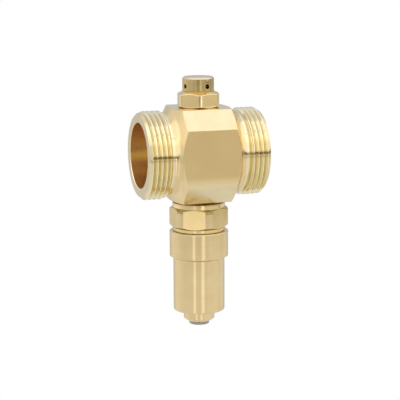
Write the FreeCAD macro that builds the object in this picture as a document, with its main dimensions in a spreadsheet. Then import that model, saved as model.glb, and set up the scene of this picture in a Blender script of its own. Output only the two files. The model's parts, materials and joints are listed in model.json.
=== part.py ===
import FreeCAD, Part
import math
import os
import Sketcher
from FreeCAD import Placement, Rotation, Vector

doc = FreeCAD.newDocument("anti_freeze_valve")
sheet = doc.addObject("Spreadsheet::Sheet", "Sizes")
pieces = []
upright = Vector(0, 0, 1)


# A length or angle that carries its number and its expression side by side.
class Size:
    def __init__(self, value, text):
        self.value = value
        self.text = text

    def __add__(self, other):
        other = asSize(other)
        return Size(self.value + other.value, f"({self.text} + {other.text})")

    def __radd__(self, other):
        return asSize(other) + self

    def __sub__(self, other):
        other = asSize(other)
        return Size(self.value - other.value, f"({self.text} - {other.text})")

    def __rsub__(self, other):
        return asSize(other) - self

    def __mul__(self, other):
        other = asSize(other)
        return Size(self.value * other.value, f"({self.text} * {other.text})")

    def __rmul__(self, other):
        return asSize(other) * self

    def __truediv__(self, other):
        other = asSize(other)
        return Size(self.value / other.value, f"({self.text} / {other.text})")

    def __neg__(self):
        return asSize(0) - self

    def root(self):
        return Size(math.sqrt(self.value), f"sqrt({self.text})")

    def tangent(self):
        return Size(math.tan(math.radians(self.value)), f"tan({self.text})")

    def sine(self):
        return Size(math.sin(math.radians(self.value)), f"sin({self.text})")

    def cosine(self):
        return Size(math.cos(math.radians(self.value)), f"cos({self.text})")


def asSize(thing):
    if isinstance(thing, Size):
        return thing
    return Size(float(thing), f"{thing:.9g}")


def size(name, value):
    row = size.rows + 1
    size.rows = row
    sheet.set(f"A{row}", name)
    sheet.set(f"B{row}", str(value))
    sheet.setAlias(f"B{row}", name)
    return Size(float(value), f"Sizes.{name}")


size.rows = 0

# Fits and gaps shared by the whole assembly.
screw_gap = size("screw_gap", 0.05)
slide_gap = size("slide_gap", 0.05)
guide_gap = size("guide_gap", 0.08)
seat_gap = size("seat_gap", 0.05)
ring_gap = size("ring_gap", 0.04)

# Block with its threaded ends.
body_length = size("body_length", 59.0)
block_size = size("block_size", 44.2)
block_corner = size("block_corner", 8.55)
block_half_length = size("block_half_length", 11.9)
block_end_slope = size("block_end_slope", 30.0)
neck_radius = size("neck_radius", 20.0)
neck_fillet = size("neck_fillet", 4.0)
thread_radius = size("thread_radius", 20.955)
thread_length = size("thread_length", 11.0)
thread_chamfer = size("thread_chamfer", 1.4)
bore_radius = size("bore_radius", 15.5)
bore_chamfer = size("bore_chamfer", 0.25)
port_stop = size("port_stop", 0.4)

# Air valve on top.
air_hex = size("air_hex", 19.0)
air_hex_radius = size("air_hex_radius", 10.6)
air_hex_height = size("air_hex_height", 7.6)
air_hex_slope = size("air_hex_slope", 25.0)
air_face_radius = size("air_face_radius", 9.2)
air_screw_radius = size("air_screw_radius", 6.58)
air_chamber_radius = size("air_chamber_radius", 5.2)
air_seat_height = size("air_seat_height", 1.0)
air_seat_radius = size("air_seat_radius", 3.2)
air_seat_wall = size("air_seat_wall", 1.3)
air_flare_radius = size("air_flare_radius", 4.6)
air_flare_depth = size("air_flare_depth", 0.7)
air_socket_radius = size("air_socket_radius", 6.25)
air_guide_height = size("air_guide_height", 1.6)
air_hole_circle = size("air_hole_circle", 3.6)
air_hole_radius = size("air_hole_radius", 0.75)
cap_radius = size("cap_radius", 7.5)
cap_height = size("cap_height", 6.74)
cap_chamfer = size("cap_chamfer", 0.8)
cap_roof = size("cap_roof", 1.74)
cap_room_radius = size("cap_room_radius", 4.7)
vent_radius = size("vent_radius", 1.0)
vent_height = size("vent_height", 2.4)
air_stem_radius = size("air_stem_radius", 1.25)
air_disc_radius = size("air_disc_radius", 4.5)
air_disc_height = size("air_disc_height", 1.8)
air_seal_height = size("air_seal_height", 1.4)
air_spring_length = size("air_spring_length", 5.7)
air_spring_radius = size("air_spring_radius", 2.1)
air_spring_wire = size("air_spring_wire", 0.5)
air_spring_turns = 4
air_cup_height = size("air_cup_height", 0.6)
air_cup_radius = size("air_cup_radius", 2.9)
air_clip_height = size("air_clip_height", 0.5)
air_clip_radius = size("air_clip_radius", 2.2)
air_clip_groove = size("air_clip_groove", 0.3)
air_stem_end = size("air_stem_end", 0.5)

# Rubber rings.
air_ring_section = size("air_ring_section", 1.76)
head_ring_section = size("head_ring_section", 1.66)
nozzle_ring_section = size("nozzle_ring_section", 1.5)

# Hexagon head of the cartridge.
head_screw_radius = size("head_screw_radius", 10.48)
head_neck_length = size("head_neck_length", 2.3)
head_shoulder_radius = size("head_shoulder_radius", 12.6)
head_lead_radius = size("head_lead_radius", 11.35)
head_lead_height = size("head_lead_height", 1.25)
head_radius = size("head_radius", 14.07)
head_hex = size("head_hex", 26.0)
head_edge_top = size("head_edge_top", 4.5)
head_edge_low = size("head_edge_low", 12.15)
head_height = size("head_height", 15.05)
head_slope = size("head_slope", 38.0)
head_joint_radius = size("head_joint_radius", 12.5)
head_joint_break = size("head_joint_break", 0.3)
spigot_radius = size("spigot_radius", 11.0)
spigot_length = size("spigot_length", 6.0)
pilot_length = size("pilot_length", 1.95)
head_bore_radius = size("head_bore_radius", 8.2)
head_step_depth = size("head_step_depth", 7.9)
head_step_width = size("head_step_width", 0.7)

# Thermostat and its overtravel spring.
clip_ring_drop = size("clip_ring_drop", 1.45)
stop_height = size("stop_height", 1.0)
stop_hole_radius = size("stop_hole_radius", 4.4)
stop_gap = size("stop_gap", 0.1)
clip_ring_height = size("clip_ring_height", 1.0)
clip_ring_width = size("clip_ring_width", 1.6)
clip_ring_depth = size("clip_ring_depth", 0.65)
clip_ring_slot = size("clip_ring_slot", 3.0)
water_hole_radius = size("water_hole_radius", 0.75)
stop_hole_circle = size("stop_hole_circle", 6.4)
over_spring_radius = size("over_spring_radius", 5.0)
over_spring_wire = size("over_spring_wire", 0.9)
over_spring_turns = 4
guide_height = size("guide_height", 2.0)
guide_hole_circle = size("guide_hole_circle", 6.7)
capsule_flange_radius = size("capsule_flange_radius", 5.8)
capsule_flange_height = size("capsule_flange_height", 1.5)
capsule_bulb_radius = size("capsule_bulb_radius", 3.6)
capsule_bulb_drop = size("capsule_bulb_drop", 2.65)
capsule_bulb_round = size("capsule_bulb_round", 1.6)
capsule_tail_radius = size("capsule_tail_radius", 3.5)
capsule_tail_length = size("capsule_tail_length", 12.0)
piston_radius = size("piston_radius", 1.5)
piston_hole_depth = size("piston_hole_depth", 7.9)
piston_engaged = size("piston_engaged", 4.2)
piston_chamfer = size("piston_chamfer", 0.3)

# Barrel, drain plug and nozzle.
collar_top_radius = size("collar_top_radius", 13.75)
collar_top_height = size("collar_top_height", 0.35)
collar_height = size("collar_height", 13.45)
collar_low_height = size("collar_low_height", 1.1)
barrel_radius = size("barrel_radius", 12.35)
barrel_height = size("barrel_height", 39.15)
barrel_round = size("barrel_round", 0.9)
barrel_bore_radius = size("barrel_bore_radius", 9.3)
barrel_floor = size("barrel_floor", 5.7)
flange_height = size("flange_height", 2.0)
plug_hole_radius = size("plug_hole_radius", 1.2)
plug_hole_circle = size("plug_hole_circle", 5.0)
plug_stem_radius = size("plug_stem_radius", 3.2)
plug_stem_length = size("plug_stem_length", 8.0)
plug_boss_height = size("plug_boss_height", 4.0)
plug_socket_depth = size("plug_socket_depth", 2.9)
plug_disc_radius = size("plug_disc_radius", 5.3)
plug_disc_height = size("plug_disc_height", 2.0)
drain_seal_radius = size("drain_seal_radius", 5.0)
drain_seal_height = size("drain_seal_height", 2.0)
seal_screw_radius = size("seal_screw_radius", 1.0)
seal_screw_length = size("seal_screw_length", 4.5)
seal_head_radius = size("seal_head_radius", 1.9)
seal_head_height = size("seal_head_height", 1.2)
return_spring_radius = size("return_spring_radius", 7.5)
return_spring_wire = size("return_spring_wire", 1.1)
return_spring_turns = 5
nozzle_screw_radius = size("nozzle_screw_radius", 6.0)
nozzle_seat_height = size("nozzle_seat_height", 8.1)
nozzle_seat_radius = size("nozzle_seat_radius", 4.4)
nozzle_seat_slope = size("nozzle_seat_slope", 1.2)
nozzle_neck_length = size("nozzle_neck_length", 1.8)
nozzle_neck_radius = size("nozzle_neck_radius", 5.15)
nozzle_bore_radius = size("nozzle_bore_radius", 3.4)
nozzle_radius = size("nozzle_radius", 7.45)
nozzle_height = size("nozzle_height", 4.2)
nozzle_cone_height = size("nozzle_cone_height", 1.5)
nozzle_cone_radius = size("nozzle_cone_radius", 5.4)
nozzle_pocket_top = size("nozzle_pocket_top", 2.2)
sleeve_radius = size("sleeve_radius", 4.8)
sleeve_reach = size("sleeve_reach", 1.4)
sleeve_round = size("sleeve_round", 0.4)

# Heights measured from the pipe's axis.
top_face = block_size / 2
low_face = -top_face
port_depth = top_face - bore_radius - port_stop
cap_base = top_face + air_hex_height
air_shelf = air_seat_height + air_seat_wall + air_flare_depth
head_joint = low_face - head_height
barrel_end = head_joint - barrel_height
barrel_floor_height = barrel_end + barrel_floor
seat_top = barrel_end + nozzle_seat_height
plug_seal_low = seat_top + seat_gap
plug_disc_low = plug_seal_low + drain_seal_height
flange_low = plug_disc_low + plug_disc_height + plug_stem_length
capsule_rest = low_face - head_step_depth + guide_height + seat_gap
clip_top = port_depth - clip_ring_drop
clip_low = clip_top - clip_ring_height
stop_low = low_face + clip_low - stop_height


def newBody(label, base, turn=0.0):
    body = doc.addObject("PartDesign::Body", label)
    body.Label = label
    body.Placement = Placement(Vector(0, 0, 0), Rotation(upright, turn))
    body.setExpression("Placement.Base.z", base.text)
    pieces.append(body)
    return body


def newSketch(body, role):
    plane = [feature for feature in body.Origin.OriginFeatures if feature.Role == role][0]
    sketch = body.newObject("Sketcher::SketchObject", f"{body.Name}_sketch")
    sketch.AttachmentSupport = [(plane, "")]
    sketch.MapMode = "FlatFace"
    return sketch


def bind(sketch, kind, shape, point, amount):
    index = sketch.addConstraint(Sketcher.Constraint(kind, -1, 1, shape, point, amount.value))
    sketch.setExpression(f"Constraints[{index}]", amount.text)


def bindPoint(sketch, shape, point, spot):
    bind(sketch, "DistanceX", shape, point, spot[0])
    bind(sketch, "DistanceY", shape, point, spot[1])


# A closed outline. A corner (x, y) is reached by a line, (x, y, centreX, centreY) by an arc.
def addOutline(sketch, corners):
    corners = [tuple(asSize(number) for number in corner) for corner in corners]
    spots = [Vector(corner[0].value, corner[1].value, 0) for corner in corners]
    first = sketch.GeometryCount
    count = len(corners)
    starts = []
    ends = []
    for index in range(count):
        after = (index + 1) % count
        here = spots[index]
        there = spots[after]
        starts.append(1)
        ends.append(2)
        if len(corners[after]) == 2:
            sketch.addGeometry(Part.LineSegment(here, there), False)
            continue
        centre = Vector(corners[after][2].value, corners[after][3].value, 0)
        angleHere = math.atan2(here.y - centre.y, here.x - centre.x)
        angleThere = math.atan2(there.y - centre.y, there.x - centre.x)
        circle = Part.Circle(centre, upright, (here - centre).Length)
        if (angleThere - angleHere) % (2 * math.pi) > math.pi:
            starts[index] = 2
            ends[index] = 1
            angleHere, angleThere = angleThere, angleHere
        sketch.addGeometry(Part.ArcOfCircle(circle, angleHere, angleThere), False)
    for index in range(count):
        after = (index + 1) % count
        sketch.addConstraint(
            Sketcher.Constraint("Coincident", first + index, ends[index], first + after, starts[after])
        )
    for index, corner in enumerate(corners):
        bindPoint(sketch, first + index, starts[index], corner)
        if len(corner) == 4:
            bind(sketch, "DistanceX", first + (index - 1) % count, 3, corner[2])


def addCircle(sketch, centre, radius):
    centre = tuple(asSize(number) for number in centre)
    spot = Vector(centre[0].value, centre[1].value, 0)
    shape = sketch.addGeometry(Part.Circle(spot, upright, radius.value), False)
    bindPoint(sketch, shape, 3, centre)
    index = sketch.addConstraint(Sketcher.Constraint("Radius", shape, radius.value))
    sketch.setExpression(f"Constraints[{index}]", radius.text)


def addAxis(sketch, low, high):
    ends = [Vector(spot[0].value, spot[1].value, 0) for spot in (low, high)]
    shape = sketch.addGeometry(Part.LineSegment(*ends), True)
    bindPoint(sketch, shape, 1, low)
    bindPoint(sketch, shape, 2, high)


def spin(body, sketch, kind="Revolution", axis="V_Axis", angle=360):
    feature = body.newObject(f"PartDesign::{kind}", f"{body.Name}_{kind.lower()}")
    feature.Profile = sketch
    feature.ReferenceAxis = (sketch, [axis])
    feature.Angle = angle
    body.Tip = feature
    doc.recompute()


def turned(body, corners, kind="Revolution", axis="V_Axis"):
    sketch = newSketch(body, "XZ_Plane")
    addOutline(sketch, corners)
    spin(body, sketch, kind, axis)


def cutSketch(body, sketch, length, both=True):
    pocket = body.newObject("PartDesign::Pocket", f"{body.Name}_pocket")
    pocket.Profile = sketch
    pocket.Type = "Length"
    pocket.setExpression("Length", length.text)
    if both:
        pocket.SideType = "Symmetric"
    else:
        pocket.Reversed = True
    body.Tip = pocket
    doc.recompute()


# Mills everything outside a polygon away.
def millPolygon(body, role, corners, outside, length):
    sketch = newSketch(body, role)
    addCircle(sketch, (0, 0), outside)
    addOutline(sketch, corners)
    cutSketch(body, sketch, length)


def hexagonCorners(across):
    reach = across / math.sqrt(3)
    turns = [math.radians(60 * step) for step in range(6)]
    return [(reach * round(math.cos(turn), 9), reach * round(math.sin(turn), 9)) for turn in turns]


def drillRing(body, circle, radius, count, length, both=True):
    sketch = newSketch(body, "XY_Plane")
    for step in range(count):
        turn = 2 * math.pi * (step + 0.5) / count
        addCircle(sketch, (circle * round(math.cos(turn), 9), circle * round(math.sin(turn), 9)), radius)
    cutSketch(body, sketch, length, both)


def drillAcross(body, role, height, radius, length):
    sketch = newSketch(body, role)
    addCircle(sketch, (0, height), radius)
    cutSketch(body, sketch, length)


def rubberRing(label, base, height, middle, section):
    body = newBody(label, base)
    sketch = newSketch(body, "XZ_Plane")
    addCircle(sketch, (middle, height), section / 2)
    spin(body, sketch)


def washer(label, base, low, high, inner, outer):
    body = newBody(label, base)
    turned(body, [(inner, low), (outer, low), (outer, high), (inner, high)])
    return body


# A coil between two flat end rings, standing on its base. Each half turn is half of a tilted ring,
# so that it starts and ends level and the next one joins it smoothly.
def coilSpring(label, base, length, radius, wire, turns):
    body = newBody(label, base)
    inner = radius - wire * 0.65
    outer = radius + wire * 0.65
    thick = wire * 1.2
    for low in (asSize(0), length - thick):
        turned(body, [(inner, low), (outer, low), (outer, low + thick), (inner, low + thick)])
    rise = (length - thick) / (2 * turns)
    for step in range(2 * turns):
        side = 1 - 2 * (step % 2)
        start = thick / 2 + rise * step
        sketch = newSketch(body, "XZ_Plane")
        addCircle(sketch, (radius * side, start), wire / 2)
        middle = (asSize(0), start + rise / 2)
        above = (rise / 2 * side, middle[1] + radius)
        addAxis(sketch, middle, above)
        spin(body, sketch, axis="Axis0", angle=180)


doc.recompute()

# The block.
corner_flat = block_size / 2 - block_corner
corner_radius = (top_face * top_face + corner_flat * corner_flat).root()
end_tangent = block_end_slope.tangent()
drum_margin = neck_fillet / 4
drum_radius = corner_radius + drum_margin
drum_half = block_half_length - drum_margin * end_tangent
fillet_centre = neck_radius + neck_fillet
collar_radius = fillet_centre - neck_fillet * block_end_slope.sine()
fillet_start = block_half_length + (corner_radius - collar_radius) * end_tangent
fillet_end = fillet_start + neck_fillet * block_end_slope.cosine()
half = body_length / 2
thread_start = half - thread_length
thread_rise = thread_radius - neck_radius

valve_body = newBody("valve_body", asSize(0))
turned(
    valve_body,
    [
        (bore_chamfer - half, bore_radius),
        (half - bore_chamfer, bore_radius),
        (half, bore_radius + bore_chamfer),
        (half, thread_radius - thread_chamfer),
        (half - thread_chamfer, thread_radius),
        (thread_start + thread_rise, thread_radius),
        (thread_start, neck_radius),
        (fillet_end, neck_radius),
        (fillet_start, collar_radius, fillet_end, fillet_centre),
        (drum_half, drum_radius),
        (-drum_half, drum_radius),
        (-fillet_start, collar_radius),
        (-fillet_end, neck_radius, -fillet_end, fillet_centre),
        (-thread_start, neck_radius),
        (-thread_start - thread_rise, thread_radius),
        (thread_chamfer - half, thread_radius),
        (-half, thread_radius - thread_chamfer),
        (-half, bore_radius + bore_chamfer),
    ],
    axis="H_Axis",
)
millPolygon(
    valve_body,
    "YZ_Plane",
    [
        (top_face, corner_flat),
        (corner_flat, top_face),
        (-corner_flat, top_face),
        (-top_face, corner_flat),
        (-top_face, -corner_flat),
        (-corner_flat, -top_face),
        (corner_flat, -top_face),
        (top_face, -corner_flat),
    ],
    drum_radius * 1.5,
    body_length,
)
air_ring_depth = air_ring_section + ring_gap
air_ring_inner = air_screw_radius + ring_gap
air_ring_outer = air_ring_inner + air_ring_section + ring_gap
air_port_radius = air_screw_radius + screw_gap
turned(
    valve_body,
    [
        (0, 0),
        (air_port_radius, 0),
        (air_port_radius, top_face - air_ring_depth),
        (air_ring_outer, top_face - air_ring_depth),
        (air_ring_outer, top_face),
        (0, top_face),
    ],
    "Groove",
)
head_port_radius = head_screw_radius + screw_gap
head_ring_outer = spigot_radius + screw_gap
head_neck_radius = head_ring_outer - head_ring_section - ring_gap
head_ring_depth = head_ring_section + ring_gap
turned(
    valve_body,
    [
        (0, low_face),
        (head_ring_outer, low_face),
        (head_ring_outer, low_face + head_ring_depth),
        (head_port_radius, low_face + head_ring_depth),
        (head_port_radius, 0),
        (0, 0),
    ],
    "Groove",
)

# The air valve.
air_turn = 18.2
air_slope = air_hex_slope.tangent()
air_top_edge = air_hex_height - (air_hex_radius - cap_radius) * air_slope
air_low_edge = (air_hex_radius - air_face_radius) * air_slope
air_valve_body = newBody("air_valve_body", top_face, air_turn)
turned(
    air_valve_body,
    [
        (air_chamber_radius, -port_depth),
        (air_screw_radius, -port_depth),
        (air_screw_radius, 0),
        (air_face_radius, 0),
        (air_hex_radius, air_low_edge),
        (air_hex_radius, air_top_edge),
        (cap_radius, air_hex_height),
        (air_socket_radius, air_hex_height),
        (air_socket_radius, air_shelf),
        (air_flare_radius, air_shelf),
        (air_flare_radius, air_shelf - air_flare_depth),
        (air_seat_radius, air_shelf - air_flare_depth),
        (air_seat_radius, air_seat_height),
        (air_chamber_radius, air_seat_height),
    ],
)
millPolygon(air_valve_body, "XY_Plane", hexagonCorners(air_hex), air_hex_radius * 1.3, air_hex_height * 3)

rubberRing(
    "air_valve_o_ring",
    top_face,
    -air_ring_depth / 2,
    (air_ring_inner + air_ring_outer - ring_gap) / 2,
    air_ring_section,
)

air_guide_top = air_shelf + air_guide_height
guide_edge = air_socket_radius - screw_gap
cap_spigot = air_hex_height - air_guide_top
vent_turn = 17.5
air_cap = newBody("air_cap", cap_base, vent_turn)
turned(
    air_cap,
    [
        (cap_room_radius, -cap_spigot),
        (guide_edge, -cap_spigot),
        (guide_edge, 0),
        (cap_radius, 0),
        (cap_radius, cap_height - cap_chamfer),
        (cap_radius - cap_chamfer, cap_height),
        (0, cap_height),
        (0, cap_height - cap_roof),
        (cap_room_radius, cap_height - cap_roof),
    ],
)
for role in ("XZ_Plane", "YZ_Plane"):
    drillAcross(air_cap, role, vent_height, vent_radius, cap_radius * 3)

air_guide = newBody("air_guide", top_face)
stem_hole = air_stem_radius + slide_gap
turned(
    air_guide,
    [
        (stem_hole, air_shelf),
        (guide_edge, air_shelf),
        (guide_edge, air_guide_top),
        (stem_hole, air_guide_top),
    ],
)
drillRing(air_guide, air_hole_circle, air_hole_radius, 6, air_guide_top * 3)

air_seal_low = air_seat_height - seat_gap - air_seal_height
air_cup_low = air_guide_top + air_spring_length
air_clip_low = air_cup_low + air_cup_height
air_clip_top = air_clip_low + air_clip_height
clip_root = air_stem_radius - air_clip_groove
air_plug = newBody("air_plug", top_face)
turned(
    air_plug,
    [
        (0, air_seal_low - air_disc_height),
        (air_disc_radius, air_seal_low - air_disc_height),
        (air_disc_radius, air_seal_low),
        (air_stem_radius, air_seal_low),
        (air_stem_radius, air_clip_low),
        (clip_root, air_clip_low),
        (clip_root, air_clip_top),
        (air_stem_radius, air_clip_top),
        (air_stem_radius, air_clip_top + air_stem_end),
        (0, air_clip_top + air_stem_end),
    ],
)
air_seal_top = air_seal_low + air_seal_height
washer("air_plug_seal", top_face, air_seal_low, air_seal_top, air_stem_radius, air_disc_radius)
coilSpring(
    "air_spring",
    top_face + air_guide_top,
    air_spring_length,
    air_spring_radius,
    air_spring_wire,
    air_spring_turns,
)
washer("air_spring_cup", top_face, air_cup_low, air_clip_low, air_stem_radius, air_cup_radius)
washer("air_stem_clip", top_face, air_clip_low, air_clip_top, clip_root, air_clip_radius)

# The hexagon head.
head_turn = 32.8
head_slope_rise = head_slope.tangent()
shoulder_low = -(head_edge_top - (head_radius - head_shoulder_radius) * head_slope_rise)
joint_top = -(head_edge_low + (head_radius - head_joint_radius) * head_slope_rise)
spigot_end = -(head_height + spigot_length)
pilot_radius = head_neck_radius
pilot_end = spigot_end - pilot_length + ring_gap
step_radius = head_bore_radius - head_step_width
clip_outer = head_bore_radius + clip_ring_depth
cartridge_head = newBody("cartridge_head", low_face, head_turn)
turned(
    cartridge_head,
    [
        (head_bore_radius, port_depth),
        (head_screw_radius, port_depth),
        (head_screw_radius, head_neck_length),
        (head_neck_radius, head_neck_length),
        (head_neck_radius, 0),
        (head_lead_radius, 0),
        (head_shoulder_radius, -head_lead_height),
        (head_shoulder_radius, shoulder_low),
        (head_radius, -head_edge_top),
        (head_radius, -head_edge_low),
        (head_joint_radius, joint_top),
        (head_joint_radius, head_joint_break - head_height),
        (head_joint_radius - head_joint_break, -head_height),
        (spigot_radius, -head_height),
        (spigot_radius, spigot_end),
        (pilot_radius, spigot_end),
        (pilot_radius, pilot_end),
        (step_radius, pilot_end),
        (step_radius, -head_step_depth),
        (head_bore_radius, -head_step_depth),
        (head_bore_radius, clip_low - ring_gap),
        (clip_outer, clip_low - ring_gap),
        (clip_outer, clip_top + ring_gap),
        (head_bore_radius, clip_top + ring_gap),
    ],
)
millPolygon(cartridge_head, "XY_Plane", hexagonCorners(head_hex), head_radius * 1.3, head_height * 4)

ring_middle = head_ring_outer - (head_ring_section + ring_gap) / 2
rubberRing("head_o_ring", low_face, head_ring_depth / 2, ring_middle, head_ring_section)
barrel_ring_height = spigot_end - pilot_length / 2
rubberRing("barrel_o_ring", low_face, barrel_ring_height, ring_middle, head_ring_section)

# The thermostat group in the head.
stop_edge = head_bore_radius - stop_gap
clip_inner = clip_outer - clip_ring_width
retaining_ring = washer("retaining_ring", low_face, clip_low, clip_top, clip_inner, clip_outer - ring_gap)
sketch = newSketch(retaining_ring, "XY_Plane")
addOutline(
    sketch,
    [
        (0, -clip_ring_slot / 2),
        (clip_outer * 1.2, -clip_ring_slot / 2),
        (clip_outer * 1.2, clip_ring_slot / 2),
        (0, clip_ring_slot / 2),
    ],
)
cutSketch(retaining_ring, sketch, clip_top * 3)

spring_stop = washer("spring_stop", low_face, clip_low - stop_height, clip_low, stop_hole_radius, stop_edge)
drillRing(spring_stop, stop_hole_circle, water_hole_radius, 8, clip_top * 3)

guide_top = guide_height - head_step_depth
tail_hole = capsule_tail_radius + slide_gap
capsule_guide = washer("capsule_guide", low_face, -head_step_depth, guide_top, tail_hole, stop_edge)
drillRing(capsule_guide, guide_hole_circle, water_hole_radius, 8, head_step_depth * 3)

piston_hole = piston_radius + slide_gap
bulb_top = low_face + port_depth - capsule_bulb_drop - capsule_rest
bulb_edge = capsule_bulb_radius - capsule_bulb_round
thermostat_capsule = newBody("thermostat_capsule", capsule_rest)
turned(
    thermostat_capsule,
    [
        (0, piston_hole_depth - capsule_tail_length),
        (piston_hole, piston_hole_depth - capsule_tail_length),
        (piston_hole, -capsule_tail_length),
        (capsule_tail_radius, -capsule_tail_length),
        (capsule_tail_radius, 0),
        (capsule_flange_radius, 0),
        (capsule_flange_radius, capsule_flange_height),
        (capsule_bulb_radius, capsule_flange_height),
        (capsule_bulb_radius, bulb_top - capsule_bulb_round),
        (bulb_edge, bulb_top, bulb_edge, bulb_top - capsule_bulb_round),
        (0, bulb_top),
    ],
)
over_spring_base = capsule_rest + capsule_flange_height
coilSpring(
    "overtravel_spring",
    over_spring_base,
    stop_low - over_spring_base,
    over_spring_radius,
    over_spring_wire,
    over_spring_turns,
)

# The barrel.
collar_low_edge = collar_low_height - collar_height
socket_end = -(spigot_length + pilot_length)
cartridge_barrel = newBody("cartridge_barrel", head_joint)
barrel_low = -barrel_height
nozzle_ring_depth = nozzle_ring_section + ring_gap
nozzle_ring_outer = nozzle_neck_radius + nozzle_ring_section + ring_gap * 2
nozzle_port = nozzle_screw_radius + screw_gap
turned(
    cartridge_barrel,
    [
        (head_ring_outer, 0),
        (collar_top_radius, 0),
        (head_radius, -collar_top_height),
        (head_radius, collar_low_edge),
        (barrel_radius, -collar_height),
        (barrel_radius, barrel_low + barrel_round),
        (barrel_radius - barrel_round, barrel_low, barrel_radius - barrel_round, barrel_low + barrel_round),
        (nozzle_ring_outer, barrel_low),
        (nozzle_ring_outer, barrel_low + nozzle_ring_depth),
        (nozzle_port, barrel_low + nozzle_ring_depth),
        (nozzle_port, barrel_low + barrel_floor),
        (barrel_bore_radius, barrel_low + barrel_floor),
        (barrel_bore_radius, socket_end),
        (head_ring_outer, socket_end),
    ],
)

# The drain plug, resting just above its seat.
flange_radius = barrel_bore_radius - guide_gap
boss_top = flange_height + plug_boss_height
socket_floor = boss_top - plug_socket_depth
screw_room = seal_screw_radius + screw_gap
screw_depth = seal_screw_length - drain_seal_height + ring_gap
plug_low = -(plug_stem_length + plug_disc_height)
drain_plug = newBody("drain_plug", flange_low)
turned(
    drain_plug,
    [
        (screw_room, plug_low),
        (plug_disc_radius, plug_low),
        (plug_disc_radius, plug_low + plug_disc_height),
        (plug_stem_radius, plug_low + plug_disc_height),
        (plug_stem_radius, 0),
        (flange_radius, 0),
        (flange_radius, flange_height),
        (plug_stem_radius, flange_height),
        (plug_stem_radius, boss_top),
        (piston_hole, boss_top),
        (piston_hole, socket_floor),
        (0, socket_floor),
        (0, plug_low + screw_depth),
        (screw_room, plug_low + screw_depth),
    ],
)
drillRing(drain_plug, plug_hole_circle, plug_hole_radius, 6, flange_height, False)

washer("drain_plug_seal", plug_disc_low, -drain_seal_height, asSize(0), screw_room, drain_seal_radius)

seal_screw = newBody("seal_screw", plug_seal_low)
turned(
    seal_screw,
    [
        (0, -seal_head_height),
        (seal_head_radius * 0.8, -seal_head_height),
        (seal_head_radius, -seal_head_height * 0.6),
        (seal_head_radius, 0),
        (seal_screw_radius, 0),
        (seal_screw_radius, seal_screw_length),
        (0, seal_screw_length),
    ],
)

piston_base = flange_low + socket_floor
piston_top = capsule_rest - capsule_tail_length + piston_engaged - piston_base
piston_edge = piston_radius - piston_chamfer
thermostat_piston = newBody("thermostat_piston", piston_base)
turned(
    thermostat_piston,
    [
        (0, 0),
        (piston_edge, 0),
        (piston_radius, piston_chamfer),
        (piston_radius, piston_top - piston_chamfer),
        (piston_edge, piston_top),
        (0, piston_top),
    ],
)

coilSpring(
    "return_spring",
    barrel_floor_height,
    flange_low - barrel_floor_height,
    return_spring_radius,
    return_spring_wire,
    return_spring_turns,
)

# The nozzle with its seat, and the sleeve that ends it.
nozzle_low = -(nozzle_height + nozzle_cone_height)
pocket_radius = sleeve_radius + screw_gap
drain_nozzle = newBody("drain_nozzle", barrel_end)
turned(
    drain_nozzle,
    [
        (nozzle_bore_radius, nozzle_seat_height),
        (nozzle_seat_radius, nozzle_seat_height),
        (nozzle_screw_radius, nozzle_seat_height - nozzle_seat_slope),
        (nozzle_screw_radius, nozzle_neck_length),
        (nozzle_neck_radius, nozzle_neck_length),
        (nozzle_neck_radius, 0),
        (nozzle_radius, 0),
        (nozzle_radius, -nozzle_height),
        (nozzle_cone_radius, nozzle_low),
        (pocket_radius, nozzle_low),
        (pocket_radius, -nozzle_pocket_top),
        (nozzle_bore_radius, -nozzle_pocket_top),
    ],
)
nozzle_ring_middle = nozzle_neck_radius + ring_gap + nozzle_ring_section / 2
rubberRing("nozzle_o_ring", barrel_end, nozzle_ring_depth / 2, nozzle_ring_middle, nozzle_ring_section)

sleeve_low = nozzle_low - sleeve_reach
sleeve_edge = sleeve_radius - sleeve_round
outlet_sleeve = newBody("outlet_sleeve", barrel_end)
turned(
    outlet_sleeve,
    [
        (nozzle_bore_radius, -nozzle_pocket_top),
        (nozzle_bore_radius, sleeve_low),
        (sleeve_edge, sleeve_low),
        (sleeve_radius, sleeve_low + sleeve_round, sleeve_edge, sleeve_low + sleeve_round),
        (sleeve_radius, -nozzle_pocket_top),
    ],
)

doc.recompute()
for thing in doc.Objects:
    if "Invalid" in thing.State or "Error" in thing.State:
        raise RuntimeError(f"{thing.Label} did not rebuild")

os.makedirs("parts", exist_ok=True)
for body in pieces:
    shape = body.Shape
    if shape.isNull() or not shape.isValid() or len(shape.Solids) != 1:
        raise RuntimeError(f"{body.Label} is not one sound solid")
    shape.exportStep(f"parts/{body.Label}.step")
    box = shape.optimalBoundingBox()
    print(f"{body.Label:20s} volume {shape.Volume:10.2f} z {box.ZMin:8.3f} to {box.ZMax:8.3f}")
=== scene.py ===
import json
import math

import bmesh
import bpy
from mathutils import Matrix, Vector


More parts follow.
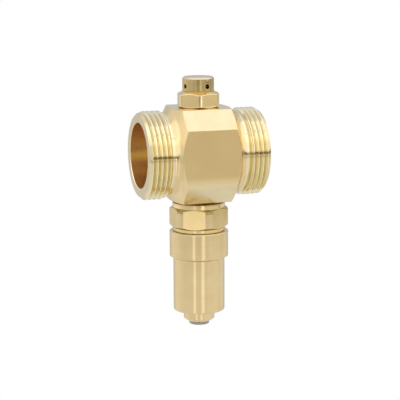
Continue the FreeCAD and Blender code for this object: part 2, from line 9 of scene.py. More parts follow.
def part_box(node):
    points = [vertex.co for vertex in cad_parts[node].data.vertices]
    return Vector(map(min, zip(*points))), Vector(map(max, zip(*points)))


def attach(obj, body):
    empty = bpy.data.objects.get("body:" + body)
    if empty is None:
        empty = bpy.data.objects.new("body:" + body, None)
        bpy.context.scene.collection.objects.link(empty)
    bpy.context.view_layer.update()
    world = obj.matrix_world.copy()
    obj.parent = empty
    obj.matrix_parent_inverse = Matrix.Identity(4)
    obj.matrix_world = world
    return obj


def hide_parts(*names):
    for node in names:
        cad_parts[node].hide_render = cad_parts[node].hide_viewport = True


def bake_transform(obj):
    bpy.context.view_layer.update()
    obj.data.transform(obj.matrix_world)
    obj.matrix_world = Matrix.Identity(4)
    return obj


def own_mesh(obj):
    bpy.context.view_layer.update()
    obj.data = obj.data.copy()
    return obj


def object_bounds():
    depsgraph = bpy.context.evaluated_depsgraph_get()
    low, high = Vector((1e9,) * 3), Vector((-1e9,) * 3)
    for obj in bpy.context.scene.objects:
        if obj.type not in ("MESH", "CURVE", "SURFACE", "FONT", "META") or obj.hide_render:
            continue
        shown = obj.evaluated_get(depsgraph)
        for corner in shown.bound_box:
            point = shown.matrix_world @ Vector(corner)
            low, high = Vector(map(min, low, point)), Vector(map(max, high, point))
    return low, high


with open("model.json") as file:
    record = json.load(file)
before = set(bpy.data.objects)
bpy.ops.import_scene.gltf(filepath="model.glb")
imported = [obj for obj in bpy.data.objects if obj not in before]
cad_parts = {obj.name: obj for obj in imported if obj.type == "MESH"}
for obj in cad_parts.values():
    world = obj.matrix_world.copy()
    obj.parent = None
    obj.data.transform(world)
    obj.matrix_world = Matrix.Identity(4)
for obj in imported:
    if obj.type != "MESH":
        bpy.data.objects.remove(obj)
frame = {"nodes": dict(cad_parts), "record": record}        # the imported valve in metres: pipe along X, air valve up
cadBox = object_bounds()
mm = 0.001
scene = bpy.context.scene
print("frame loaded:", len(frame["nodes"]), "CAD pieces")


# A Wire is a socket that can be reckoned with, a Board adds the nodes.
class Wire:
    def __init__(self, board, socket):
        self.board = board
        self.socket = socket

    def other(self, name):
        return Wire(self.board, self.socket.node.outputs[name])

    def __add__(self, other):
        return self.board.reckon("ADD", self, other)

    __radd__ = __add__

    def __mul__(self, other):
        return self.board.reckon("MULTIPLY", self, other)

    __rmul__ = __mul__

    def __sub__(self, other):
        return self.board.reckon("SUBTRACT", self, other)

    def __rsub__(self, other):
        return self.board.reckon("SUBTRACT", other, self)

    def __abs__(self):
        return self.board.reckon("ABSOLUTE", self)

    def root(self):
        return self.board.reckon("SQRT", self)

    def atLeast(self, least):
        return self.board.reckon("MAXIMUM", self, least)


class Board:
    def __init__(self, tree):
        self.tree = tree
        self.tree.nodes.clear()

    def add(self, kind, settings, inputs, output=0):
        node = self.tree.nodes.new(kind)
        for name, value in settings.items():
            setattr(node, name, value)
        for name, value in inputs.items():
            if isinstance(value, Wire):
                self.tree.links.new(value.socket, node.inputs[name])
            else:
                node.inputs[name].default_value = value
        return Wire(self, node.outputs[output]) if node.outputs else None

    def reckon(self, operation, first, second=0.0):
        return self.add("ShaderNodeMath", {"operation": operation}, {0: first, 1: second})

    def rise(self, value, low, high):        # 0 below low, 1 above high, smooth between
        limits = {"Value": value, "From Min": low, "From Max": high}
        return self.add("ShaderNodeMapRange", {"interpolation_type": "SMOOTHSTEP"}, limits)

    def band(self, value, middle, half, fade):        # 1 near the middle, fading out past half
        return 1 - self.rise(abs(value - middle), half, half + fade)

    def noise(self, place, scale, detail):
        return self.add("ShaderNodeTexNoise", {}, {"Vector": place, "Scale": scale, "Detail": detail})

    def blend(self, factor, first, second):
        return self.add("ShaderNodeMix", {"data_type": "RGBA"}, {0: factor, 6: first, 7: second}, 2)

    def apart(self, place):
        x = self.add("ShaderNodeSeparateXYZ", {}, {0: place})
        return x, x.other("Y"), x.other("Z")

    def vector(self, x, y, z):
        return self.add("ShaderNodeCombineXYZ", {}, {0: x, 1: y, 2: z})

    def bump(self, height, strength, distance):
        return self.add("ShaderNodeBump", {}, {"Strength": strength, "Distance": distance, "Height": height})


def newFinish(name):
    material = bpy.data.materials.new(name)
    material.use_nodes = True
    board = Board(material.node_tree)
    return material, board, board.add("ShaderNodeTexCoord", {}, {}, "Object")


def closeFinish(board, values):
    surface = board.add("ShaderNodeBsdfPrincipled", {}, values)
    board.add("ShaderNodeOutputMaterial", {}, {"Surface": surface})


# Turned brass: tool marks run round the lathe axis, over large pale and deep patches.
brassTones = {
    "pale": (0.83, 0.66, 0.37, 1),
    "deep": (0.79, 0.60, 0.31, 1),
    "capPale": (0.64, 0.49, 0.23, 1),
    "capDeep": (0.56, 0.42, 0.18, 1),
    # painted highlight: the cap's top is paler
    "crownHighlight": (0.69, 0.61, 0.45, 1),
    # painted light: the bore's tone is brightened to stand in for the light inside it
    "bore": (1.0, 0.94, 0.66, 1),
    # painted shade: the top of the bore is darker
    "boreTopShade": (0.78, 0.54, 0.33, 1),
    "boreRings": (0.96, 0.78, 0.42, 1),
    "endFace": (0.82, 0.69, 0.43, 1),
    "thread": (0.88, 0.78, 0.50, 1),
    # painted highlight: the thread is paler towards its top
    "threadTopHighlight": (0.88, 0.82, 0.62, 1),
    # painted shade in the thread roots
    "root": (0.52, 0.37, 0.12, 1),
    # painted shade: the dark brown line under the block where the hexagon meets it
    "contactShade": (0.25, 0.11, 0.02, 1),
    # painted shade: a darker, less orange line at the joint under the lower hexagon
    "joint": (0.67, 0.59, 0.36, 1),
    # painted shade: the lower hexagon's lip is darker
    "lipShade": (0.55, 0.44, 0.19, 1),
    # painted light: the shoulder under the block is brighter
    "shoulderLight": (0.98, 0.74, 0.38, 1),
    # painted light: a paler, less orange band at the barrel's step
    "step": (0.78, 0.68, 0.42, 1),
}
toolMarks = {
    "fine": 5200.0,
    "coarse": 900.0,
    "patches": 140.0,
    "patchShare": 0.75,
    "patchRange": (0.3, 0.7),
    "fineGloss": 0.05,
    "coarseBump": 0.5,
    "bumpDepth": 0.000012,
}


def latheMarks(board, place, along, radius, pale, deep):
    lathe = board.vector(along, radius, 0.0)
    fine = board.noise(lathe, toolMarks["fine"], 2.0)
    coarse = board.noise(lathe, toolMarks["coarse"], 3.0)
    patches = board.noise(place, toolMarks["patches"], 4.0)
    share = toolMarks["patchShare"]
    mottle = board.rise(patches * share + coarse * (1 - share), *toolMarks["patchRange"])
    return fine, coarse, board.blend(mottle, deep, pale)


def closeTurned(board, color, roughness, fine, coarse, bumpStrength):
    marks = fine + coarse * toolMarks["coarseBump"]
    closeFinish(board, {
        "Base Color": color,
        "Metallic": 1.0,
        "Roughness": roughness + fine * toolMarks["fineGloss"],
        "Normal": board.bump(marks, bumpStrength, toolMarks["bumpDepth"]),
    })


# The block: a dull bore with rings, painted brighter inside, with painted shade at its top, threads that are pale
# with painted shade in their roots and a painted highlight towards the top, a satin drum between them.
blockFinish = {
    "gloss": 0.09,
    "bump": 0.15,
    "boreDull": 0.1,
    "drumSatin": 0.1,
    "rootShadeShare": 0.65,
    "ringShare": 0.35,
    "rings": (0.4, 0.6),
    "outside": (0.0159, 0.0161),        # radius: from inside the bore to outside it
    "root": (0.01955, 0.01985),        # radius
    "drumEnd": (0.015, 0.0175),        # along the pipe
    "thread": (0.0168, 0.0182),
    "face": (0.0282, 0.0287),
    "boreTopShade": (0.0, 0.012),        # height
    "threadTopHighlight": (0.006, 0.014),
}


def blockBrass(name):
    material, board, place = newFinish(name)
    x, y, z = board.apart(place)
    radius = (y * y + z * z).root()
    reach = abs(x)
    fine, coarse, color = latheMarks(board, place, x, radius, brassTones["pale"], brassTones["deep"])
    outside = board.rise(radius, *blockFinish["outside"])
    face = board.rise(reach, *blockFinish["face"])
    thread = board.rise(reach, *blockFinish["thread"]) * (1 - face)
    # painted shade: the thread roots are darkened
    root = thread * (1 - board.rise(radius, *blockFinish["root"]))
    drum = outside * (1 - board.rise(reach, *blockFinish["drumEnd"]))
    rings = board.rise(coarse, *blockFinish["rings"]) * blockFinish["ringShare"]
    # painted light: the bore is painted brighter inside
    bore = board.blend(rings, brassTones["bore"], brassTones["boreRings"])
    # painted shade: the bore is darker towards its top
    bore = board.blend(board.rise(z, *blockFinish["boreTopShade"]), bore, brassTones["boreTopShade"])
    # painted highlight: the thread is painted paler towards its top
    threadHighlightMask = board.rise(z, *blockFinish["threadTopHighlight"])
    color = board.blend(thread, color, board.blend(threadHighlightMask, brassTones["thread"], brassTones["threadTopHighlight"]))
    color = board.blend(root * blockFinish["rootShadeShare"], color, brassTones["root"])
    color = board.blend(outside, bore, board.blend(face, color, brassTones["endFace"]))
    dull = (1 - outside) * blockFinish["boreDull"] + drum * blockFinish["drumSatin"]
    closeTurned(board, color, dull + blockFinish["gloss"], fine, coarse, blockFinish["bump"])
    return material


# What stands upright: narrow painted bands where pieces meet: painted shade as a brown line under the block, at the
# lip and at the joint, painted light on the shoulder and at the step.
uprightBands = {        # tone: height and half width
    # painted shade under the block
    "contactShade": (-0.0227, 0.00068),
    # painted light on the shoulder
    "shoulderLight": (-0.0248, 0.0007),
    # painted shade on the lip
    "lipShade": (-0.0265, 0.001),
    # painted shade at the joint
    "joint": (-0.0371, 0.0003),
    # painted light at the step
    "step": (-0.0505, 0.0004),
}
bandFade = 0.0001
# painted highlight: from this height up the cap's top is painted paler
crownHighlightRange = (0.0355, 0.0357)        # height where the cap's top begins


def turnedBrass(name, pale, deep, gloss, bumpStrength):
    material, board, place = newFinish(name)
    x, y, z = board.apart(place)
    radius = (x * x + y * y).root()
    fine, coarse, color = latheMarks(board, place, z, radius, pale, deep)
    for tone, (height, half) in uprightBands.items():
        color = board.blend(board.band(z, height, half, bandFade), color, brassTones[tone])
    # painted highlight on the cap's top
    color = board.blend(board.rise(z, *crownHighlightRange), color, brassTones["crownHighlight"])
    closeTurned(board, color, gloss, fine, coarse, bumpStrength)
    return material


# Finishes that are the same all over, but for a little speckle.
speckleMarks = {"detail": 3.0, "range": (0.35, 0.65), "gloss": 0.12, "bumpDepth": 0.00003}


def speckled(board, place, grain, low, high):
    speckle = board.noise(place, grain, speckleMarks["detail"])
    return speckle, board.blend(board.rise(speckle, *speckleMarks["range"]), low, high)


def plainFinish(name, low, high, metallic, gloss, grain, bumpStrength):
    material, board, place = newFinish(name)
    speckle, color = speckled(board, place, grain, low, high)
    closeFinish(board, {
        "Base Color": color,
        "Metallic": metallic,
        "Roughness": gloss + speckle * speckleMarks["gloss"],
        "Normal": board.bump(speckle, bumpStrength, speckleMarks["bumpDepth"]),
    })
    return material


# The block's front and back: satin, with the lower edge rounded off by the polishing wheel, and the lower band
# painted paler as painted light.
milledFace = {
    "low": (0.78, 0.58, 0.27, 1),
    "high": (0.80, 0.60, 0.285, 1),
    # painted light: paler tone for the face's lower band
    "roundingAndPaintedLight": (0.82, 0.70, 0.44, 1),
    "gloss": 0.226,
    "glossShare": 0.06,
    "grain": 60.0,
    "roundingAndLightFrom": 0.0082,
    "roundingAndLightHeight": 0.0062,
    "wornDepth": 0.0005,
}


def wheeledBrass(name):
    material, board, place = newFinish(name)
    speckle, color = speckled(board, place, milledFace["grain"], milledFace["low"], milledFace["high"])
    height = board.apart(place)[2]
    # painted light: the lower band of the face is painted paler; the same ramp bends the normal into the rounded edge
    roundingAndPaintedLight = ((0 - height - milledFace["roundingAndLightFrom"]) * (1 / milledFace["roundingAndLightHeight"])).atLeast(0.0)
    closeFinish(board, {
        "Base Color": board.blend(roundingAndPaintedLight, color, milledFace["roundingAndPaintedLight"]),
        "Metallic": 1.0,
        "Roughness": milledFace["gloss"] + speckle * milledFace["glossShare"],
        "Normal": board.bump(1 - roundingAndPaintedLight * roundingAndPaintedLight, 1.0, milledFace["wornDepth"]),
    })
    return material


bodyBrass = blockBrass("body brass")
uprightBrass = turnedBrass("turned brass", brassTones["pale"], brassTones["deep"],
                           gloss=0.12, bumpStrength=0.15)
capBrass = turnedBrass("cap brass", brassTones["capPale"], brassTones["capDeep"],
                       gloss=0.2, bumpStrength=0.2)
milledBrass = wheeledBrass("milled brass")
hexBrass = plainFinish("hexagon brass", (0.78, 0.58, 0.27, 1), (0.82, 0.63, 0.31, 1),
                       metallic=1.0, gloss=0.06, grain=140.0, bumpStrength=0.0)
facetBrass = plainFinish("facet brass", (0.80, 0.68, 0.42, 1), (0.84, 0.72, 0.46, 1),
                         metallic=1.0, gloss=0.1, grain=140.0, bumpStrength=0.0)
springSteel = plainFinish("steel", (0.44, 0.43, 0.41, 1), (0.52, 0.51, 0.49, 1),
                          metallic=1.0, gloss=0.22, grain=900.0, bumpStrength=0.15)
sleeveSteel = plainFinish("sleeve steel", (0.32, 0.30, 0.26, 1), (0.39, 0.36, 0.32, 1),
                          metallic=1.0, gloss=0.2, grain=900.0, bumpStrength=0.1)
copperCup = plainFinish("copper", (0.66, 0.36, 0.24, 1), (0.8, 0.47, 0.32, 1),
                        metallic=1.0, gloss=0.2, grain=500.0, bumpStrength=0.1)
blackRubber = plainFinish("rubber", (0.014, 0.014, 0.015, 1), (0.03, 0.03, 0.031, 1),
                          metallic=0.0, gloss=0.5, grain=1500.0, bumpStrength=0.3)
whitePlastic = plainFinish("plastic", (0.74, 0.74, 0.7, 1), (0.82, 0.82, 0.79, 1),
                           metallic=0.0, gloss=0.35, grain=700.0, bumpStrength=0.1)
finishOfSlot = {
    "brass": uprightBrass,
    "cap_brass": capBrass,
    "copper": copperCup,
    "steel": springSteel,
    "rubber": blackRubber,
    "plastic": whitePlastic,
}
for part in frame["record"]["subparts"]:
    for place in frame["nodes"][part["node"]].material_slots:
        place.material = finishOfSlot[part["material_slot"]]
print("finishes ready:", len(finishOfSlot))


# Lathe and mill. Profiles are (along the axis, radius) in mm.
pipeAxis = Vector((1, 0, 0))
uprightAxis = Vector((0, 0, 1))
frontSide = Vector((0, -1, 0))        # where a profile starts on the lathe
pipeEnds = [pipeAxis, -pipeAxis]
uprightEnds = [uprightAxis, -uprightAxis]
latheSteps = 256
mergeWidth = 0.002
cutWidth = 0.0001
sameWay = 0.99999        # cosine between two normals that count as one
creaseAngle = 38        # degrees, as the next two
milledEdge = 12
turnedEdge = 24


def arc(middle, radius, start, end, steps):
    turns = [math.radians(start + (end - start) * step / steps) for step in range(steps + 1)]
    return [(middle[0] + radius * math.cos(turn), middle[1] + radius * math.sin(turn)) for turn in turns]


def lifted(profile, base):
    return [(along + base, radius) for along, radius in profile]


def addProfile(shape, points, axis, closed):
    ring = [shape.verts.new((axis * along + frontSide * radius) * mm) for along, radius in points]
    ends = ring[1:] + ring[:1] if closed else ring[1:]
    return ring + [shape.edges.new(pair) for pair in zip(ring, ends)]


def cleanUp(shape):
    bmesh.ops.remove_doubles(shape, verts=shape.verts, dist=mergeWidth * mm)
    bmesh.ops.dissolve_degenerate(shape, edges=shape.edges, dist=mergeWidth * mm)
    bmesh.ops.recalc_face_normals(shape, faces=shape.faces)


def turn(profiles, axis, closed=True):
    shape = bmesh.new()
    geom = []
    for points in profiles:
        geom += addProfile(shape, points, axis, closed)
    bmesh.ops.spin(shape, geom=geom, cent=(0, 0, 0), axis=axis, dvec=(0, 0, 0), angle=math.tau,
                   steps=latheSteps, use_merge=True, use_duplicate=False)
    cleanUp(shape)
    return shape


def millFlat(shape, normal, distance):
    geom = shape.verts[:] + shape.edges[:] + shape.faces[:]
    cut = bmesh.ops.bisect_plane(shape, geom=geom, dist=cutWidth * mm, plane_co=normal * distance * mm,
                                 plane_no=normal, clear_outer=True)
    rim = [edge for edge in cut["geom_cut"] if isinstance(edge, bmesh.types.BMEdge)]
    bmesh.ops.edgeloop_fill(shape, edges=rim)


def hexagonNormals(turnDegrees):
    turns = [math.radians(turnDegrees + 30 + 60 * side) for side in range(6)]
    return [Vector((math.cos(turn), math.sin(turn), 0)) for turn in turns]


def breakEdges(shape, width, sharpest, wanted=lambda edge: True):
    edges = [edge for edge in shape.edges
             if edge.is_manifold and edge.calc_face_angle() > math.radians(sharpest) and wanted(edge)]
    bmesh.ops.bevel(shape, geom=edges, offset=width * mm, offset_type="OFFSET", segments=2, profile=0.5,
                    affect="EDGES", material=-1, clamp_overlap=False)


def looksAlong(face, normals):
    return any(face.normal.dot(normal) > sameWay for normal in normals)


def shade(shape, flat, *finished):        # flats stay flat, the rest is smooth up to a crease
    for face in shape.faces:
        face.smooth = not looksAlong(face, flat)
        for index, normals in enumerate(finished):
            if looksAlong(face, normals):
                face.material_index = index + 1
    for edge in shape.edges:
        edge.smooth = edge.calc_face_angle(0.0) < math.radians(creaseAngle)


def newPiece(name, shape, *finishes):
    mesh = bpy.data.meshes.new(name)
    shape.to_mesh(mesh)
    shape.free()
    for finish in finishes:
        mesh.materials.append(finish)
    piece = bpy.data.objects.new(name, mesh)
    scene.collection.objects.link(piece)
    return piece


def bake(piece):
    shown = piece.evaluated_get(bpy.context.evaluated_depsgraph_get())
    old, piece.data = piece.data, bpy.data.meshes.new_from_object(shown)
    piece.modifiers.clear()
    bpy.data.meshes.remove(old)


def cutAway(piece, cutter):
    tool = newPiece("tool", cutter)
    change = piece.modifiers.new("cut", "BOOLEAN")
    change.operation = "DIFFERENCE"
    change.solver = "EXACT"
    change.object = tool
    bake(piece)
    bpy.data.meshes.remove(tool.data)


def settle(piece, node, fixed=True):
    change = piece.modifiers.new("normals", "WEIGHTED_NORMAL")        # broken edges don't bend the sides
    change.weight = 100
    change.keep_sharp = True
    bake(piece)
    if fixed:
        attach(piece, "housing")
    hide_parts(node)
    print("made", piece.name, "with", len(piece.data.polygons), "faces")


# The threaded block.
block = {
    "boreRadius": 15.5,
    "boreChamfer": 0.25,
    "pitch": 2.309,
    "threadRadius": 20.955,
    "threadDepth": 0.640327,        # share of the pitch
    "threadRound": 0.137329,        # share of the pitch
    "flankAngle": 27.5,
    "threadTurns": 7,
    "frontCrests": (-32.945, 13.943),        # where each thread's first crest faces the front
    "faceEdge": 19.45,
    "neckRadius": 20.0,
    "neckEnd": 18.5,
    "neckRound": 4.0,
    "neckSweep": (270, 210),        # degrees round the centre of the neck's round
    "neckStart": 17.63,
    "drumFoot": 14.365,
    "drumEdge": 11.32,
    "drumRadius": 26.92,
    "cornerLeg": 8.55,
    "topPort": ((10, 0), (10, 6.63), (20.3, 6.63), (20.3, 8.42), (24, 8.42), (24, 0)),
    "lowPort": ((-10, 0), (-10, 10.53), (-20.4, 10.53), (-20.4, 11.05), (-24, 11.05), (-24, 0)),
    "edgeBreak": 0.22,
}
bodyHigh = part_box("valve_body")[1]
halfLength = bodyHigh.x / mm
halfBlock = bodyHigh.z / mm


def threadProfile():        # half a crest, a root, half a crest
    pitch = block["pitch"]
    bend = block["threadRound"] * pitch
    crest = block["threadRadius"] - bend
    rootLine = block["threadRadius"] - block["threadDepth"] * pitch + bend
    lean = block["flankAngle"]
    return (arc((0, crest), bend, 90, lean, 2) + arc((pitch / 2, rootLine), bend, 180 + lean, 360 - lean, 4)
            + arc((pitch, crest), bend, 180 - lean, 90, 2))


def trimThread(vert):        # run-out at the neck, chamfer at the face
    neck, end = block["neckEnd"], halfLength
    radius = vert.co.yz.length / mm
    reach = min(max(abs(vert.co.x) / mm, neck), end)
    limit = block["neckRadius"]
    wanted = min(max(radius, limit - (reach - neck)), limit + (reach - neck))
    wanted = min(wanted, block["faceEdge"] + end - reach)
    vert.co.x = math.copysign(reach * mm, vert.co.x)
    vert.co.y *= wanted / radius
    vert.co.z *= wanted / radius


def cutThread(shape, firstCrest):        # one turn on the lathe, repeated along the pipe
    pitch = block["pitch"]
    coil = bmesh.new()
    profile = addProfile(coil, lifted(threadProfile(), firstCrest), pipeAxis, False)
    bmesh.ops.spin(coil, geom=profile, cent=(0, 0, 0), axis=pipeAxis,
                   dvec=pipeAxis * pitch / latheSteps * mm, angle=math.tau, steps=latheSteps,
                   use_merge=False, use_duplicate=False)
    single = coil.verts[:] + coil.edges[:] + coil.faces[:]
    for lap in range(1, block["threadTurns"]):
        copied = bmesh.ops.duplicate(coil, geom=single)["geom"]
        moved = [part for part in copied if isinstance(part, bmesh.types.BMVert)]
        bmesh.ops.translate(coil, verts=moved, vec=pipeAxis * pitch * lap * mm)
    for vert in coil.verts:
        trimThread(vert)
    mesh = bpy.data.meshes.new("coil")
    coil.to_mesh(mesh)
    coil.free()
    shape.from_mesh(mesh)
    bpy.data.meshes.remove(mesh)


def carriesThread(face):
    middle = face.calc_center_median()
    outside = middle.yz.length > (block["boreRadius"] + block["faceEdge"]) / 2 * mm
    return outside and abs(middle.x) > block["neckEnd"] * mm and not looksAlong(face, pipeEnds)


def makeBlock():
    neckCentre = (block["neckStart"], block["neckRadius"] + block["neckRound"])
    half = [(halfLength - block["boreChamfer"], block["boreRadius"]),
            (halfLength, block["boreRadius"] + block["boreChamfer"]),
            (halfLength, block["faceEdge"]),
            (block["neckEnd"], block["neckRadius"])]
    half += arc(neckCentre, block["neckRound"], *block["neckSweep"], 10)
    half += [(block["drumEdge"], block["drumRadius"])]
    shape = turn([half + [(-along, radius) for along, radius in reversed(half)]], pipeAxis)
    corner = (halfBlock - block["cornerLeg"] / 2) * math.sqrt(2)
    turns = [math.radians(45 * side) for side in range(8)]
    sides = [Vector((0, math.cos(turn), math.sin(turn))) for turn in turns]
    for normal in sides[::2]:
        millFlat(shape, normal, halfBlock)
    for normal in sides[1::2]:
        millFlat(shape, normal, corner)
    foot = block["drumFoot"] * mm
    breakEdges(shape, block["edgeBreak"], milledEdge,
               lambda edge: all(abs(vert.co.x) < foot for vert in edge.verts))
    piece = newPiece("threadedBlock", shape, bodyBrass, milledBrass, facetBrass)
    for port in ("topPort", "lowPort"):
        cutAway(piece, turn([block[port]], uprightAxis, closed=False))
    shape = bmesh.new()
    shape.from_mesh(piece.data)
    bmesh.ops.delete(shape, geom=[face for face in shape.faces if carriesThread(face)], context="FACES")
    for crest in block["frontCrests"]:
        cutThread(shape, crest)
    cleanUp(shape)
    backAndFront = sides[::4]
    facets = [normal for normal in sides if normal not in backAndFront]
    shade(shape, sides + pipeEnds, backAndFront, facets)
    shape.to_mesh(piece.data)
    shape.free()
    return piece


settle(makeBlock(), "valve_body")


# The air valve's hexagon, on top of the block, and its cap with four vents.
airHexagon = {
    "turn": 18.2,
    "across": 19.0,
    "profile": ((-6.2, 5.2), (-6.2, 6.58), (0, 6.58), (0, 9.2), (0.583, 10.45), (6.224, 10.45), (7.6, 7.5),
                (7.6, 6.25), (3.0, 6.25), (3.0, 4.6), (2.3, 4.6), (2.3, 3.2), (1.0, 3.2), (1.0, 5.2)),
    "edgeBreak": 0.22,
}
airCap = {
    "turn": 17.5,
    "profile": ((-3.0, 4.7), (-3.0, 6.2), (0, 6.2), (0, 7.5), (5.94, 7.5), (6.74, 6.7), (6.74, 0), (5.0, 0),
                (5.0, 4.7)),
    "edgeBreak": 0.18,
    "ventHeight": 2.4,
    "ventTool": ((-9, 0), (-9, 1.6), (-7.2, 1.0), (7.2, 1.0), (9, 1.6), (9, 0)),
}
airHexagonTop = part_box("air_valve_body")[1].z / mm


def makeHexagon(name, sizes, base):
    shape = turn([lifted(sizes["profile"], base)], uprightAxis)
    normals = hexagonNormals(sizes["turn"])
    for normal in normals:
        millFlat(shape, normal, sizes["across"] / 2)
    breakEdges(shape, sizes["edgeBreak"], milledEdge)
    shade(shape, normals + uprightEnds, normals)
    return newPiece(name, shape, uprightBrass, hexBrass)


def makeCap():
    shape = turn([lifted(airCap["profile"], airHexagonTop)], uprightAxis)
    breakEdges(shape, airCap["edgeBreak"], milledEdge)
    piece = newPiece("ventedCap", shape, capBrass)
    spot = Matrix.Translation(uprightAxis * (airHexagonTop + airCap["ventHeight"]) * mm)
    for side in (0, 90):        # each cut goes right through and makes two vents
        tool = turn([airCap["ventTool"]], pipeAxis, closed=False)
        tool.transform(spot @ Matrix.Rotation(math.radians(airCap["turn"] + side), 4, "Z"))
        cutAway(piece, tool)
    shape = bmesh.new()
    shape.from_mesh(piece.data)
    shade(shape, uprightEnds)
    shape.to_mesh(piece.data)
    shape.free()
    return piece


settle(makeHexagon("airHexagon", airHexagon, halfBlock), "air_valve_body")
settle(makeCap(), "air_cap")


# The cartridge: lower hexagon under the block, then barrel, nozzle and outlet sleeve.
headHexagon = {
    "turn": 32.8,
    "across": 26.0,
    "profile": ((6.2, 8.2), (6.2, 10.48), (2.3, 10.48), (2.3, 9.35), (0, 9.35), (0, 11.35), (-1.25, 12.6),
                (-3.351, 12.6), (-4.5, 14.07), (-12.15, 14.07), (-13.377, 12.5), (-14.75, 12.5),
                (-15.05, 12.2), (-15.05, 11.0), (-21.05, 11.0), (-21.05, 9.35), (-22.96, 9.35),
                (-22.96, 7.5), (-7.9, 7.5), (-7.9, 8.2), (3.71, 8.2), (3.71, 8.85), (4.79, 8.85),
                (4.79, 8.2)),
    "edgeBreak": 0.1,
}
barrel = {
    "profile": ((-7.95, 11.05), (0, 11.05), (0, 13.75), (-0.35, 14.07), (-12.35, 14.07), (-13.45, 12.35),
                (-38.25, 12.35), *arc((-38.25, 11.45), 0.9, 90, 180, 5)[1:], (-39.15, 6.73), (-37.61, 6.73),
                (-37.61, 6.05), (-33.45, 6.05), (-33.45, 9.3), (-7.95, 9.3)),
    "edgeBreak": 0.1,
}
nozzle = {
    "profile": ((8.1, 3.4), (8.1, 4.4), (6.9, 6.0), (1.8, 6.0), (1.8, 5.15), (0, 5.15), (0, 7.45),
                (-4.2, 7.45), (-5.7, 5.4), (-5.7, 4.85), (-2.2, 4.85), (-2.2, 3.4)),
    "edgeBreak": 0.16,
}
sleeve = {
    "profile": ((-2.2, 3.4), (-2.2, 4.8), (-6.7, 4.8), *arc((-6.7, 4.4), 0.4, 90, 180, 4)[1:], (-7.1, 3.4)),
    "edgeBreak": 0.1,
}
barrelEnd, barrelTop = (corner.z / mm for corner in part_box("cartridge_barrel"))


def makeTurned(name, sizes, base, finish):
    shape = turn([lifted(sizes["profile"], base)], uprightAxis)
    breakEdges(shape, sizes["edgeBreak"], turnedEdge)
    shade(shape, uprightEnds)
    return newPiece(name, shape, finish)


settle(makeHexagon("lowerHexagon", headHexagon, -halfBlock), "cartridge_head")
settle(makeTurned("turnedBarrel", barrel, barrelTop, uprightBrass), "cartridge_barrel")
settle(makeTurned("turnedNozzle", nozzle, barrelEnd, uprightBrass), "drain_nozzle")
settle(makeTurned("outletSleeve", sleeve, barrelEnd, sleeveSteel), "outlet_sleeve")


# Springs: two are fixed to the housing, the one under the drain plug is let out.
springs = {
    "air_spring": {"name": "airSpring", "wire": 0.5, "turns": 4},
    "overtravel_spring": {"name": "overtravelSpring", "wire": 0.9, "turns": 4},
    "return_spring": {"name": "returnSpring", "wire": 1.1, "turns": 5},
}
springEnd = {"width": 1.3, "height": 1.2}        # flat end rings, in wire widths
coilSteps = 64
wireSteps = 16


def makeSpring(node):
    sizes = springs[node]
    low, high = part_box(node)
    outer = high.x / mm
    inner = outer - springEnd["width"] * sizes["wire"]
    thick = springEnd["height"] * sizes["wire"]
    bottom, top = low.z / mm, high.z / mm - thick
    section = ((0, inner), (0, outer), (thick, outer), (thick, inner))
    shape = turn([lifted(section, bottom), lifted(section, top)], uprightAxis)
    centre = (bottom + thick / 2, (inner + outer) / 2)
    wire = addProfile(shape, arc(centre, sizes["wire"] / 2, 0, 360, wireSteps)[1:], uprightAxis, True)
    steps = coilSteps * sizes["turns"]
    bmesh.ops.spin(shape, geom=wire, cent=(0, 0, 0), axis=uprightAxis,
                   dvec=uprightAxis * (top - bottom) / steps * mm, angle=math.tau * sizes["turns"],
                   steps=steps, use_merge=False, use_duplicate=False)
    bmesh.ops.holes_fill(shape, edges=[edge for edge in shape.edges if edge.is_boundary])
    cleanUp(shape)
    shade(shape, uprightEnds)
    return newPiece(sizes["name"], shape, springSteel)


def setSpring(joint):
    node = joint["deforming_nodes"][0]["node"]
    still = joint["deforming_nodes"][0]["fixed_end_z_m"]
    moving = max((corner.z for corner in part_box(node)), key=lambda height: abs(height - still))
    letOut = (moving - still) * joint["axis"][2] > 0
    piece = makeSpring(node)
    settle(piece, node, fixed=not letOut)
    if letOut:
        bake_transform(piece)
    else:
        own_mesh(piece)


for joint in frame["record"]["behaviour"]["joints"]:
    setSpring(joint)


# Camera at the photo's angle.
view = {
    "azimuth": -18.0,
    "elevation": 10.37,
    "distance": 650.4,
    "lens": 122.25,
    "aim": (0.618, -0.2, -22.82),
    "roll": -0.25,
}
side, up = math.radians(view["azimuth"]), math.radians(view["elevation"])
backward = Vector((math.sin(side) * math.cos(up), -math.cos(side) * math.cos(up), math.sin(up)))


def setCamera():
    data = bpy.data.cameras.new("camera")
    data.lens = view["lens"]
    data.sensor_width = 36.0
    data.clip_start = 0.01
    camera = bpy.data.objects.new("camera", data)
    camera.rotation_mode = "QUATERNION"
    camera.location = (Vector(view["aim"]) + backward * view["distance"]) * mm
    roll = Matrix.Rotation(math.radians(view["roll"]), 3, "Z").to_quaternion()
    camera.rotation_quaternion = (-backward).to_track_quat("-Z", "Y") @ roll
    scene.collection.objects.link(camera)
    scene.camera = camera


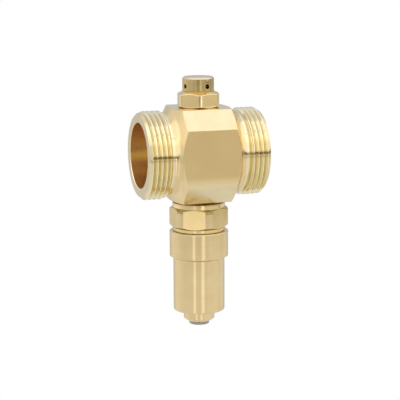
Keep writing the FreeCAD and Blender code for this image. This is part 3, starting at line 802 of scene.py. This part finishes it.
# Studio: a white tent with soft boxes in front, a lit ceiling and a narrow warm gap below the boxes.
# A stretch is (middle, half, fade) in degrees. Bearing 0 is straight in front, height 0 the horizon.
studio = {
    "tent": 0.82,
    "front": (0, 80, 50),
    "behind": 0.45,
    "behindRange": (0.5, 0.95),
    "backdropShare": 0.4,
    "ceiling": 1.27,
    "ceilingRange": (51, 60),
    "ceilingEnd": (0.1, 0.2),
}
belowHorizon = (-93, 90, 5)        # a middle past straight up or down leaves that side open
boxHeight = (95, 90, 4)
boxTopHeight = (128, 90, 16)
flashHeight = (-6.0, 1.2, 1.0)
lights = {        # bearing, height, light added
    "tableEdge": (studio["front"], (-9.0, 0.8, 2.0), -0.36),
    "softBoxes": ((-10, 105, 20), boxHeight, 0.40),
    "softBoxTops": ((-10, 105, 20), boxTopHeight, 0.36),
    "boxGap": ((-80, 12, 12), (10, 5, 6), -0.34),
    "tentCorner": ((142, 8, 8), (0, 90, 1), -0.08),
    "ceilingSeam": (studio["front"], (49.0, 1.0, 3.0), -0.55),
    "leftStrip": ((-37.0, 3.0, 3.0), belowHorizon, 0.4),
    "frontStrip": ((0.0, 5.0, 3.0), belowHorizon, 0.36),
    "rightStrip": ((48.0, 26.0, 3.0), belowHorizon, 0.06),
    "flashShade": ((-13.0, 5.0, 3.0), flashHeight, -0.33),
    "flash": ((1.5, 3.0, 3.0), flashHeight, 1.3),
    "flashSpill": ((52.0, 36.0, 3.0), flashHeight, 0.06),
}
warmGap = {
    "bearing": (55, 95, 20),
    "height": (-1.2, 2.4, 1.2),
    "eased": (18, 6, 6),
    "ease": 0.4,
    "depth": 0.8,
    "tone": (1.0, 0.6, 0.2, 1),
}


def lightStudio():
    world = bpy.data.worlds.new("studio")
    scene.world = world
    world.use_nodes = True
    board = Board(world.node_tree)
    x, y, z = board.apart(board.add("ShaderNodeTexCoord", {}, {}, "Generated"))
    height = board.reckon("ARCSINE", z) * math.degrees(1)
    bearing = board.reckon("ARCTAN2", x, 0 - y) * math.degrees(1)
    level = studio["tent"]
    for across, upward, gain in lights.values():
        level = level + board.band(bearing, *across) * board.band(height, *upward) * gain
    gap = board.band(bearing, *warmGap["bearing"]) * board.band(height, *warmGap["height"])
    gap = gap * (1 - board.band(bearing, *warmGap["eased"]) * warmGap["ease"])
    away = x * -backward.x - y * backward.y
    level = level - gap * warmGap["depth"] - board.rise(away, *studio["behindRange"]) * studio["behind"]
    overhead = board.rise(height, *studio["ceilingRange"]) * (1 - board.rise(away, *studio["ceilingEnd"]))
    level = level + overhead * (studio["ceiling"] - level)
    camera = board.add("ShaderNodeLightPath", {}, {}, "Is Camera Ray")
    mirrored = camera.other("Is Glossy Ray") + camera.other("Is Transmission Ray")
    backdrop = (1 - board.band(bearing, *studio["front"])) * (1 - overhead) * studio["backdropShare"]
    strength = level + (camera + mirrored * backdrop) * (1 - level)
    tint = board.blend(gap * (1 - camera), (1, 1, 1, 1), warmGap["tone"])
    light = board.add("ShaderNodeBackground", {}, {"Color": tint, "Strength": strength})
    board.add("ShaderNodeOutputWorld", {}, {"Surface": light})


# A pale table, which the camera sees as white with a faint shadow.
table = {"drop": 150.0, "radius": 200.0, "glow": 0.74, "tone": 0.32, "paper": (0.7, 0.74), "grain": 60.0}


def grey(level):
    return (level, level, level, 1)


def layTable():
    shape = bmesh.new()
    bmesh.ops.create_circle(shape, cap_ends=True, segments=96, radius=table["radius"] * mm)
    bmesh.ops.translate(shape, verts=shape.verts, vec=(0, 0, cadBox[0].z - table["drop"] * mm))
    material, board, place = newFinish("pale table")
    low, high = table["paper"]
    paper = board.blend(board.noise(place, table["grain"], 2.0), grey(low), grey(high))
    plain = board.add("ShaderNodeBsdfDiffuse", {}, {"Color": paper})
    shadow = board.add("ShaderNodeBsdfDiffuse", {}, {"Color": grey(table["tone"])})
    glow = board.add("ShaderNodeEmission", {}, {"Strength": table["glow"]})
    lit = board.add("ShaderNodeAddShader", {}, {0: glow, 1: shadow})
    camera = board.add("ShaderNodeLightPath", {}, {}, "Is Camera Ray")
    seen = camera + camera.other("Is Transmission Ray")
    mixed = board.add("ShaderNodeMixShader", {}, {0: seen, 1: plain, 2: lit})
    board.add("ShaderNodeOutputMaterial", {}, {"Surface": mixed})
    newPiece("table", shape, material)


lightStudio()
layTable()
print("studio lit")

setCamera()
scene.cycles.max_bounces = 16
scene.cycles.glossy_bounces = 12        # light goes deep into the bore
scene.view_settings.view_transform = "Standard"
